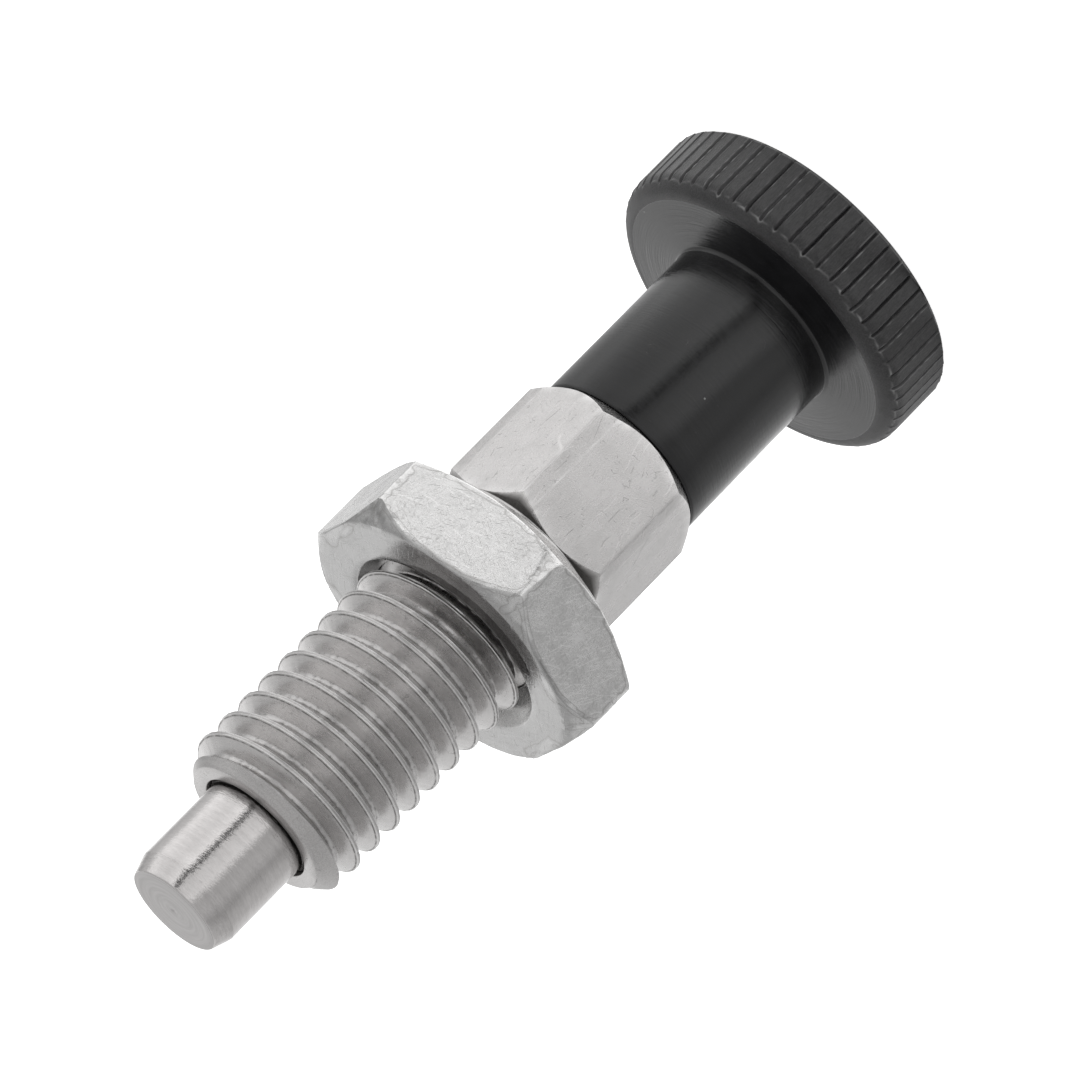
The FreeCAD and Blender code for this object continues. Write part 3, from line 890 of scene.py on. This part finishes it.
def nutThread(azimuth, height):
    # Radius of the inner thread, which fills the outer one's groove less a small gap, and opens
    # into a countersink at each face.
    slope = math.tan(math.radians(thread["flank"]))
    away = np.abs(fromCrest(azimuth, height))
    flank = thread["crest"] - (away - thread["crestFlat"] / 2 - nut["clear"]) / slope
    radius = -softMin(-flank, -nut["minor"] + 0 * flank, 0.05)
    radius = softMin(radius, nut["major"] + 0 * flank, 0.05)
    middle = (nut["low"] + nut["high"]) / 2
    aside = sinkAside(azimuth) * (height > middle)
    cone = nut["sink"] / 2 + aside - (nut["high"] - nut["low"]) / 2 + np.abs(height - middle)
    return -softMin(-radius, -cone, 0.04)


def makeNut():
    # Six flats with worn edges, a chamfer cone on each face, and the thread inside, each from its own grid.
    azimuth, height, faces = windingGrid(nut["low"], nut["high"], threadPhases)
    radius = nutThread(azimuth, height)
    form = bmesh.new()
    # the inner thread is painted darker deeper in and along the crescent: painted shade
    depth = np.clip(0.485 + (nut["high"] - height) / 1.5, 0, 1)
    depth = np.minimum(depth, np.clip(beforeEnd(azimuth), 0.3, 1))
    addSurface(form, makeMesh("winding", around(radius, azimuth, height).reshape(-1, 3), faces[:, ::-1],
                              {"wearAndHighlight": 0.2 + 0 * radius, "paintedShade": depth}))
    cutAbove(form, nut["high"] - nut["seam"], True)
    cutAbove(form, nut["low"] + nut["seam"], False)

    columns = hexagonColumns(nutSector, nut["corner"])
    flat, offset = hexagonRadius(columns, nut["flats"], nut["corner"])
    centre = nut["flats"] / 2 / math.cos(math.pi / 6)

    def outline(level):
        # the hexagon at each level: its long edges are worn round by an uneven amount, and some of
        # them are knocked flat, most of all at the rear
        place = around(flat, columns, level)
        worn = nut["edge"] * (1.0 + 0.22 * ripple(place, 1.1, 3) + 0.12 * ripple(place, 0.35, 4))
        worn = np.clip(worn, nut["edge"], 0.8)
        hub = centre - worn / math.cos(math.pi / 6)
        reach = hub * np.cos(offset) + np.sqrt(np.clip(worn ** 2 - (hub * np.sin(offset)) ** 2, 0, None))
        limit = np.arctan2(worn * 0.5, hub + worn * math.cos(math.pi / 6))
        sides = np.where(np.abs(offset) < limit, reach, flat)
        for knock in knocks:
            near = np.abs(turnFrom(columns, knock["corner"])) < math.pi / 6
            lean = math.radians(knock["turn"])
            share = np.clip((knock["top"] - level) / (knock["top"] - nut["low"]), 0, 1)
            knocked = (centre * math.cos(lean) - knock["depth"] * share) / np.cos(offset - lean)
            sides = np.where(near, softMin(sides, knocked, 0.02), sides)
        return sides

    def drop(radii, circle, angle):
        # how far a chamfer's cone has fallen from the face at each radius, with a soft start
        return -softMin((circle / 2 - radii) * math.tan(math.radians(angle)), 0 * radii, 0.05)

    def endRows(rim, circle, angle, face, up, seed):
        # one end from the countersink outwards: the flat ring, the chamfer and the worn edge
        slope = (drop(rim, circle, angle) - drop(rim - 0.1, circle, angle)) / 0.1
        arc = roundCorner(np.stack([-1 + 0 * slope[0], up * slope[0]], axis=-1), (0, -up), 6)
        level = face - up * drop(rim, circle, angle)
        worn = nut["worn"] * (1 + 0.35 * np.clip(ripple(around(rim, columns, level), 0.6, seed), -1.5, 1))
        inner = np.minimum(circle / 2, rim - 0.45)
        ring = nut["sink"] / 2 + nut["seam"] + sinkAside(columns) * (up > 0)
        radii = [ring + (inner - ring) * np.linspace(0, 1, 8)[:, None]]
        radii += [inner + (rim + worn * arc[:1, :, 0] - inner) * share for share in (0.25, 0.5, 0.75)]
        radii = np.concatenate(radii)
        heights = face - up * drop(radii, circle, angle)
        return (np.concatenate([radii, rim + worn * arc[:, :, 0]]),
                np.concatenate([heights, level + worn * arc[:, :, 1]]), level)

    lowRadii, lowHeights, lowEdge = endRows(outline(nut["low"] + 0 * columns), nut["rearCircle"],
                                            nut["rearAngle"], nut["low"], -1, 5)
    highRadii, highHeights, highEdge = endRows(outline(nut["high"] + 0 * columns), nut["frontCircle"],
                                               nut["frontAngle"], nut["high"], 1, 6)
    side = np.linspace(0, 1, 28)[1:-1, None]
    level = lowEdge + 0.2 + (highEdge - lowEdge - 0.4) * side
    rows = [(lowRadii, lowHeights), (outline(level), level), (highRadii[::-1], highHeights[::-1])]
    radii, heights = stacked(rows, columns)
    grid = around(radii, columns, heights)
    wave = nut["wave"] * (ripple(grid, 1.6, 11) + 0.6 * ripple(grid, 0.6, 12)) - 0.012
    onSide = np.clip((radii - nut["rearCircle"] / 2 - 0.1) / 0.3, 0, 1)
    grid = around(radii + wave * onSide, columns, heights)
    edge = bell(np.degrees(offset), 1.6) * (radii > 8.2)
    arris = bell(heights - highEdge, 0.12) + bell(heights - lowEdge, 0.12)
    wearAndHighlight = np.clip((edge + arris * onSide) * (0.7 + 0.4 * ripple(grid, 0.5, 13)), 0, 1) * 0.8
    # the dark crescent, a painted reflection of the thread: above a half, the point lies inside its outer
    # line and before its torn end
    reach = crescent["radius"] + crescent["aside"] * np.cos(columns + math.radians(crescent["turn"]))
    onFront = (heights > nut["high"] - 0.3) * (radii > nut["sink"] / 2 - 0.3)
    paintedShade = np.clip(np.minimum(0.5 + reach - radii, beforeEnd(columns)), 0, 1) * onFront
    # how much duller and darker the front is: the ring is one, and the chamfers are less, but more in
    # blotches at one corner
    onChamfer = (heights > highEdge - 0.05) * (heights > 5.0) * (radii > 7.6)
    torn = bell(np.degrees(turnFrom(columns, nut["tornAzimuth"])), nut["tornWidth"])
    blotches = torn * (radii > 8.0) * (0.75 + 0.35 * ripple(grid, 0.45, 15))
    front = np.maximum(onFront * 1.0, onChamfer * np.clip(torn + 0.5 * blotches, 0.6, 1.5))
    marks = {"wearAndHighlight": wearAndHighlight, "paintedShade": paintedShade, "front": front}
    share = np.clip((radii - nut["asideFrom"]) / 0.8, 0, 1)[..., None]
    turn = math.radians(nut["sinkAzimuth"])
    grid = grid + share * nut["aside"] * np.array([math.cos(turn), math.sin(turn), 0])
    addSurface(form, makeMesh("rest", grid.reshape(-1, 3), ringFaces(len(radii), columns.size), marks))
    joinRims(form, nut["high"] - 0.5, nut["high"] + 0.5)
    joinRims(form, nut["low"] - 0.5, nut["low"] + 0.5)
    piece = formPiece(form, "lock_nut_piece", 40)
    # the nut sits a little aslant on its thread: height rises across it, but not in the thread itself
    place = np.empty(len(piece.data.vertices) * 3, np.float32)
    piece.data.vertices.foreach_get("co", place)
    place = place.reshape(-1, 3)
    share = np.clip((np.hypot(place[:, 0], place[:, 1]) / millimetre - nut["leanFrom"]) / 0.6, 0, 1)
    place[:, 2] += share * (place[:, 0] * nut["lean"][0] + place[:, 1] * nut["lean"][1])
    piece.data.vertices.foreach_set("co", place.ravel())
    return piece


finishPiece(makeNut(), "lock_nut", "nut", nutSteel())


# The camera, where the photograph was taken from

view = {"azimuth": -81.6, "elevation": 22.0, "distance": 378.8, "target": -1.62, "tilt": 45.52,
        "aside": 0.071, "lens": 250.0, "sensor": 36.0}


def makeCamera():
    turn, lift, tilt = (math.radians(view[k]) for k in ("azimuth", "elevation", "tilt"))
    back = Vector((math.cos(lift) * math.cos(turn), math.cos(lift) * math.sin(turn), math.sin(lift)))
    towardKnob = -(Vector((0, 0, 1)) - back * back.z).normalized()
    across = towardKnob.cross(back)
    right = towardKnob * math.cos(tilt) + across * math.sin(tilt)
    up = towardKnob * math.sin(tilt) - across * math.cos(tilt)
    place = Vector((0, 0, view["target"])) + back * view["distance"] + across * view["aside"]
    camera = bpy.data.objects.new("camera", bpy.data.cameras.new("camera"))
    camera.data.lens = view["lens"]
    camera.data.sensor_width = view["sensor"]
    camera.data.clip_start = 0.01
    camera.data.clip_end = 50.0
    turnMatrix = Matrix((right, up, back)).transposed().to_4x4()
    camera.matrix_world = Matrix.Translation(place * millimetre) @ turnMatrix
    bpy.context.scene.collection.objects.link(camera)
    bpy.context.scene.camera = camera
    print("camera placed")


makeCamera()


# The floor, the surroundings and the lamps

# The floor is lighter in reflections near the plunger, glows there by "glow", and is raised by "plain"
# for the camera, so that it shows white and keeps the shadow.
room = {"floor": -23.06, "reach": 6000.0, "colour": 0.86, "glow": 0.3, "ambient": 0.55, "overhead": 0.6,
        "overheadFrom": 0.42, "overheadTo": 0.87, "nearby": 1.4, "nearbyFrom": 27.0, "nearbyTo": 38.0,
        "plain": 0.85, "centre": (-5.8, -5.9)}
# what a shiny surface sees round the plunger: azimuth in degrees and lightness
surroundings = [(0, 0.92), (22, 1.06), (42, 0.66), (62, 0.54), (84, 1.12), (98, 1.08), (120, 0.78),
                (143, 0.7), (164, 0.57), (180, 0.54), (194, 0.46), (206, 0.4), (218, 0.47), (230, 0.53),
                (257, 0.5), (264, 0.7), (271, 0.9), (280, 0.84), (290, 0.8), (298, 0.76), (306, 0.68),
                (309.5, 0.06), (313, 0.06), (316, 0.62), (322, 1.08), (329, 0.96), (345, 0.86), (360, 0.92)]
lamps = [
    {"name": "key", "azimuth": -20.0, "elevation": 50.0, "distance": 420.0, "size": 260.0, "radiance": 2.2},
    {"name": "fill", "azimuth": -150.0, "elevation": 40.0, "distance": 450.0, "size": 240.0, "radiance": 1.2},
    {"name": "back", "azimuth": 90.0, "elevation": 55.0, "distance": 450.0, "size": 260.0, "radiance": 1.2},
]


def azimuthLight(tree, vector):
    # Lightness by the direction round the axis, from the list above.
    parts = addNode(tree, "SeparateXYZ", {0: vector})
    angle = calculate(tree, "ARCTAN2", parts.outputs["Y"], parts.outputs["X"])
    share = calculate(tree, "FRACT", plus(tree, calculate(tree, "DIVIDE", angle, 2 * math.pi), 1.0))
    ramp = addNode(tree, "ValToRGB", {0: share})
    ramp.color_ramp.interpolation = "EASE"
    while len(ramp.color_ramp.elements) < len(surroundings):
        ramp.color_ramp.elements.new(0.5)
    for element, (degrees, light) in zip(ramp.color_ramp.elements, surroundings):
        element.position = degrees / 360
        element.color = (light, light, light, 1)
    return ramp.outputs["Color"]


def makeFloor():
    bpy.ops.mesh.primitive_circle_add(vertices=96, radius=room["reach"] * millimetre, fill_type="NGON",
                                      location=(0, 0, room["floor"] * millimetre))
    floor = bpy.context.object
    floor.name = "floor"
    material = bpy.data.materials.new("pale_floor")
    material.use_nodes = True
    tree = material.node_tree
    tree.nodes.clear()
    path = addNode(tree, "LightPath").outputs
    middle = tuple(-v * millimetre for v in room["centre"]) + (0.0,)
    place = addNode(tree, "TexCoord").outputs["Object"]
    place = addNode(tree, "VectorMath", {0: place, 1: middle}).outputs[0]
    away = addNode(tree, "VectorMath", {0: place}, operation="LENGTH").outputs["Value"]
    nearby = between(tree, away, room["nearbyFrom"] * millimetre, room["nearbyTo"] * millimetre,
                     room["nearby"], 1.0)
    brighter = addNode(tree, "CombineXYZ", {"X": nearby, "Y": nearby, "Z": nearby}).outputs[0]
    mirrored = scaled(tree, azimuthLight(tree, place), brighter)
    seen = mixColour(tree, path["Is Glossy Ray"], (1, 1, 1, 1), mirrored)
    colour = mixColour(tree, 1.0, (room["colour"],) * 3 + (1,), seen, "MULTIPLY")
    matt = addNode(tree, "BsdfDiffuse", {"Color": colour}).outputs[0]
    mirror = largest(tree, path["Is Glossy Ray"], path["Is Transmission Ray"])
    strength = plus(tree, product(tree, mirror, room["glow"]),
                    product(tree, path["Is Camera Ray"], room["plain"]))
    lit = addNode(tree, "Emission", {"Color": seen, "Strength": strength})
    both = addNode(tree, "AddShader", {0: matt, 1: lit.outputs[0]}).outputs[0]
    addNode(tree, "OutputMaterial", {"Surface": both})
    floor.data.materials.append(material)
    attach(floor, "spring")  # it stays under the knob when the pin is drawn back


def makeWorld():
    world = bpy.data.worlds.new("soft_room")
    world.use_nodes = True
    tree = world.node_tree
    tree.nodes.clear()
    path = addNode(tree, "LightPath").outputs
    direction = addNode(tree, "TexCoord").outputs["Generated"]
    up = addNode(tree, "SeparateXYZ", {0: direction}).outputs["Z"]
    overhead = (room["overhead"],) * 3 + (1,)
    above = between(tree, up, room["overheadFrom"], room["overheadTo"], 0.0, 1.0)
    seen = mixColour(tree, above, azimuthLight(tree, direction), overhead)
    ambient = (room["ambient"],) * 3 + (1,)
    colour = mixColour(tree, path["Is Glossy Ray"], ambient, seen)
    colour = mixColour(tree, path["Is Camera Ray"], colour, (1, 1, 1, 1))
    sky = addNode(tree, "Background", {"Color": colour, "Strength": 1.0}).outputs[0]
    addNode(tree, "OutputWorld", {"Surface": sky})
    bpy.context.scene.world = world


def makeLamp(name, azimuth, elevation, distance, size, radiance):
    turn, lift = math.radians(azimuth), math.radians(elevation)
    toward = Vector((math.cos(lift) * math.cos(turn), math.cos(lift) * math.sin(turn), math.sin(lift)))
    light = bpy.data.lights.new(name, "AREA")
    light.shape = "SQUARE"
    light.size = size * millimetre
    light.energy = radiance * math.pi * light.size ** 2
    lamp = bpy.data.objects.new(name, light)
    lamp.visible_glossy = False  # shiny surfaces show the soft surroundings, not the lamps
    lamp.location = toward * distance * millimetre
    lamp.rotation_euler = toward.to_track_quat("Z", "Y").to_euler()
    bpy.context.scene.collection.objects.link(lamp)


makeFloor()
makeWorld()
for lamp in lamps:
    makeLamp(**lamp)
print("floor, surroundings and lamps placed")

bpy.context.scene.view_settings.view_transform = "Standard"
